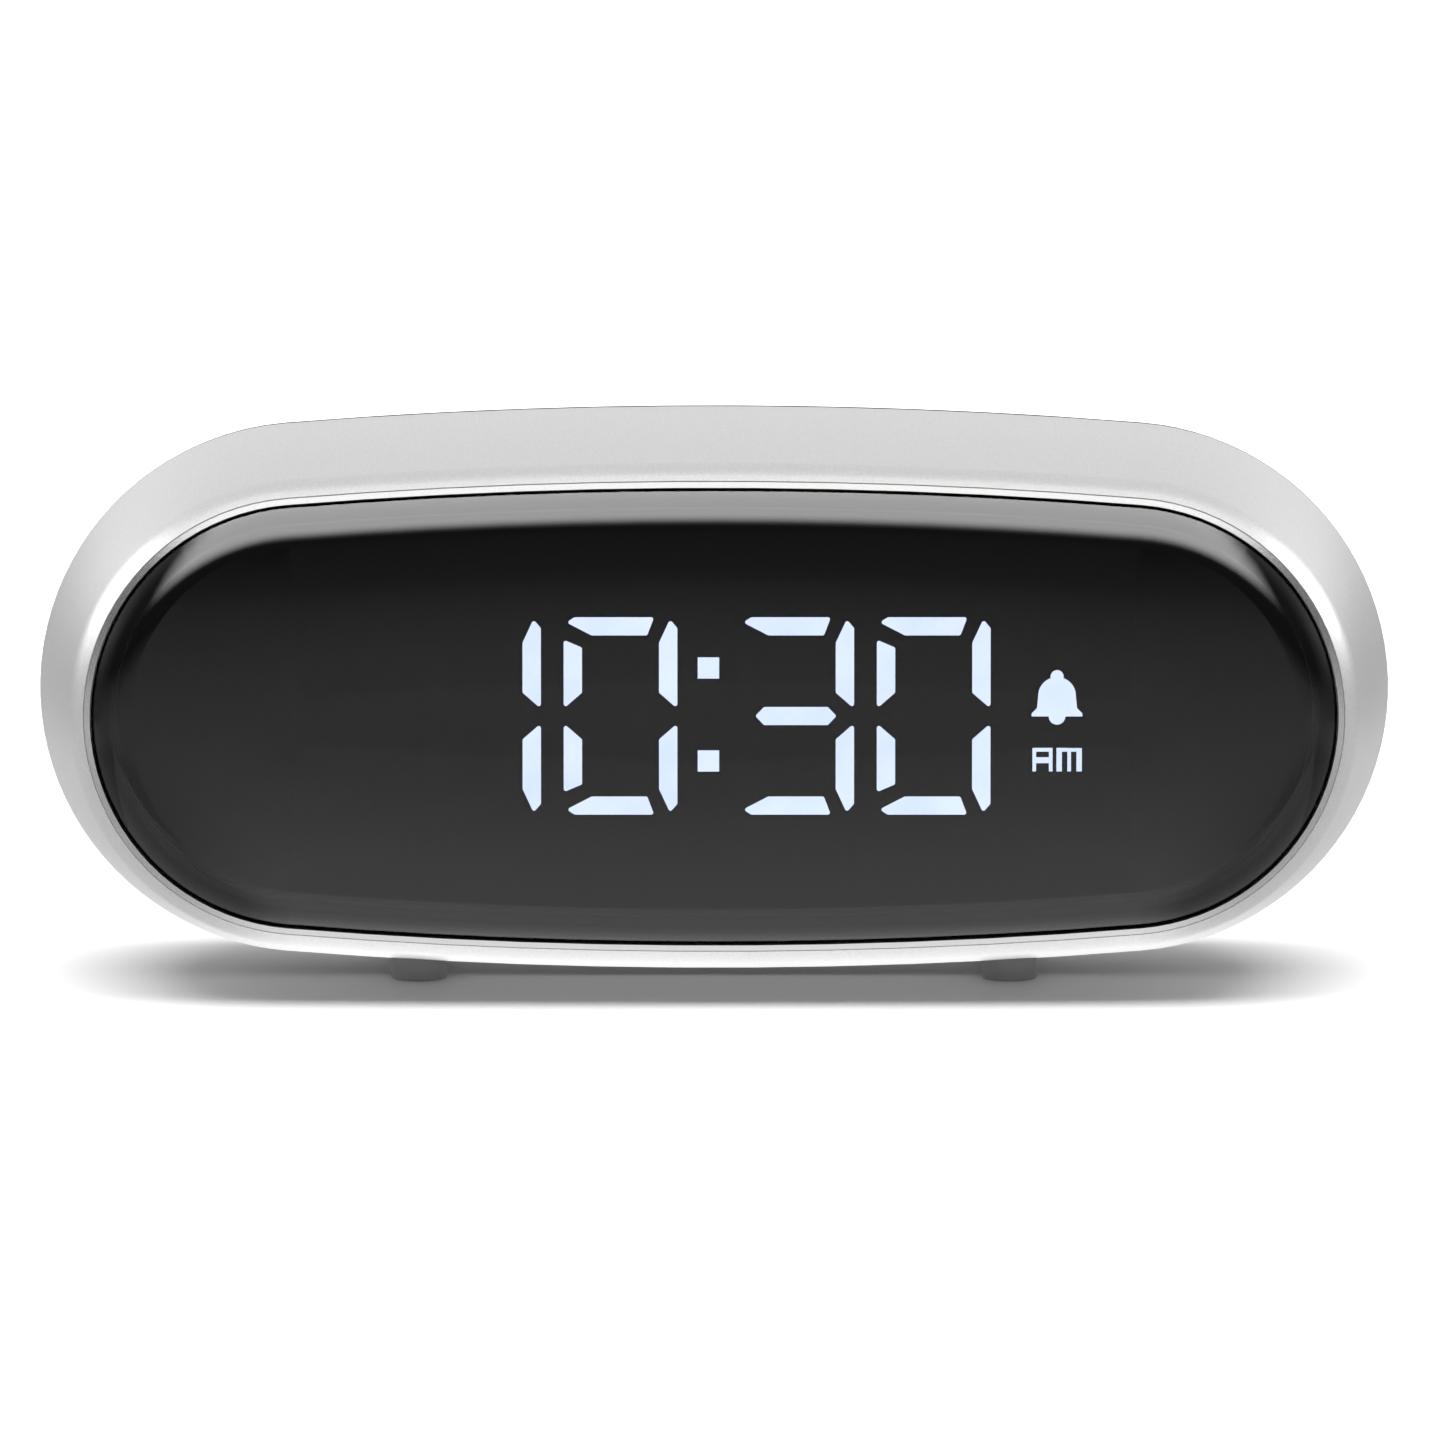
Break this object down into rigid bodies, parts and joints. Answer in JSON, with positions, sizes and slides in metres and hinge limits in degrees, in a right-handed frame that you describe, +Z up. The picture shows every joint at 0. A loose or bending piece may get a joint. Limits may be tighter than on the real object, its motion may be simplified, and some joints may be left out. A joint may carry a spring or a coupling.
{
  "type": "alarm clock",
  "caption": "Oval bedside alarm clock: domed smoked lens over a lit seven-segment display, silver front case, black rear case with snooze bar, push buttons, alarm switch and battery door.",
  "frame": {"origin": "on the surface the clock stands on, under the middle of its width and depth", "axes": "+X to the right seen from the front, +Y from the front to the back, +Z up"},
  "size_m": [0.1552, 0.051, 0.0663],
  "materials": {
    "silver_plastic": "satin silver paint on moulded plastic",
    "black_plastic": "fine moulded texture",
    "smoked_acrylic": "polished, dark smoke tint",
    "black_foam": "closed-cell foam",
    "mask_plastic": "matt",
    "lit_resin": "diffusing resin, lit cool white",
    "unlit_resin": "diffusing resin, unlit",
    "led_resin": "moulded resin",
    "circuit_board": "solder mask",
    "screw_steel": "zinc plated",
    "chip_epoxy": "moulded",
    "crystal_can": "drawn metal can",
    "capacitor_sleeve": "shrink sleeve",
    "connector_nylon": "moulded",
    "ribbon_film": "flat film cable",
    "wire_insulation": "soft insulation",
    "cell_jacket": "printed sleeve",
    "contact_nickel": "nickel plated spring steel",
    "foot_rubber": "soft matt",
    "control_plastic": "satin",
    "stem_plastic": "moulded"
  },
  "bodies": {
    "case": {"front_housing": "silver_plastic", "rear_housing": "black_plastic", "lens": "smoked_acrylic", "lens_gasket": "black_foam", "display_mask": "mask_plastic", "display_reflector": "mask_plastic", "hour_tens_segments": "lit_resin", "hour_units_segments": "lit_resin", "minute_tens_segments": "lit_resin", "minute_units_segments": "lit_resin", "colon_dots": "lit_resin", "alarm_bell_icon": "lit_resin", "am_icon": "lit_resin", "unlit_segments": "unlit_resin", "display_leds": "led_resin", "display_board": "circuit_board", "main_board": "circuit_board", "key_board": "circuit_board", "snooze_board": "circuit_board", "display_screws": "screw_steel", "main_board_screws": "screw_steel", "key_board_screws": "screw_steel", "snooze_board_screws": "screw_steel", "housing_screws": "screw_steel", "controller_chip": "chip_epoxy", "buzzer": "chip_epoxy", "tact_switches": "chip_epoxy", "slide_switch": "chip_epoxy", "snooze_switch": "chip_epoxy", "power_jack": "chip_epoxy", "crystal": "crystal_can", "capacitors": "capacitor_sleeve", "board_connectors": "connector_nylon", "display_ribbon": "ribbon_film", "buzzer_leads": "wire_insulation", "jack_leads": "wire_insulation", "battery_leads": "wire_insulation", "key_board_leads": "wire_insulation", "snooze_leads": "wire_insulation", "batteries": "cell_jacket", "battery_springs": "contact_nickel", "battery_plates": "contact_nickel", "rubber_feet": "foot_rubber"},
    "snooze": {"snooze_bar": "control_plastic", "snooze_stem": "stem_plastic"},
    "alarm_switch": {"alarm_switch_knob": "control_plastic"},
    "battery_door": {"battery_door": "black_plastic"},
    "hour_button": {"hour_button": "control_plastic", "hour_stem": "stem_plastic"},
    "minute_button": {"minute_button": "control_plastic", "minute_stem": "stem_plastic"},
    "time_set_button": {"time_set_button": "control_plastic", "time_set_stem": "stem_plastic"},
    "alarm_set_button": {"alarm_set_button": "control_plastic", "alarm_set_stem": "stem_plastic"},
    "dimmer_button": {"dimmer_button": "control_plastic", "dimmer_stem": "stem_plastic"}
  },
  "joints": [
    {"name": "snooze_press", "type": "slide", "parent": "case", "child": "snooze", "axis": [0, -0.454, -0.891], "range_m": [0, 0.0006], "stiffness_N_per_m": 1500, "springref_m": -0.0004},
    {"name": "alarm_switch_slide", "type": "slide", "parent": "case", "child": "alarm_switch", "axis": [1, 0, 0], "range_m": [0, 0.003]},
    {"name": "battery_door_pull", "type": "slide", "parent": "case", "child": "battery_door", "axis": [0, 1, 0], "range_m": [0, 0.025]},
    {"name": "hour_press", "type": "slide", "parent": "case", "child": "hour_button", "axis": [0, -1, 0], "range_m": [0, 0.0005], "stiffness_N_per_m": 1000, "springref_m": -0.0003},
    {"name": "minute_press", "type": "slide", "parent": "case", "child": "minute_button", "axis": [0, -1, 0], "range_m": [0, 0.0005], "stiffness_N_per_m": 1000, "springref_m": -0.0003},
    {"name": "time_set_press", "type": "slide", "parent": "case", "child": "time_set_button", "axis": [0, -1, 0], "range_m": [0, 0.0005], "stiffness_N_per_m": 1000, "springref_m": -0.0003},
    {"name": "alarm_set_press", "type": "slide", "parent": "case", "child": "alarm_set_button", "axis": [0, -1, 0], "range_m": [0, 0.0005], "stiffness_N_per_m": 1000, "springref_m": -0.0003},
    {"name": "dimmer_press", "type": "slide", "parent": "case", "child": "dimmer_button", "axis": [0, -1, 0], "range_m": [0, 0.0005], "stiffness_N_per_m": 1000, "springref_m": -0.0003}
  ]
}
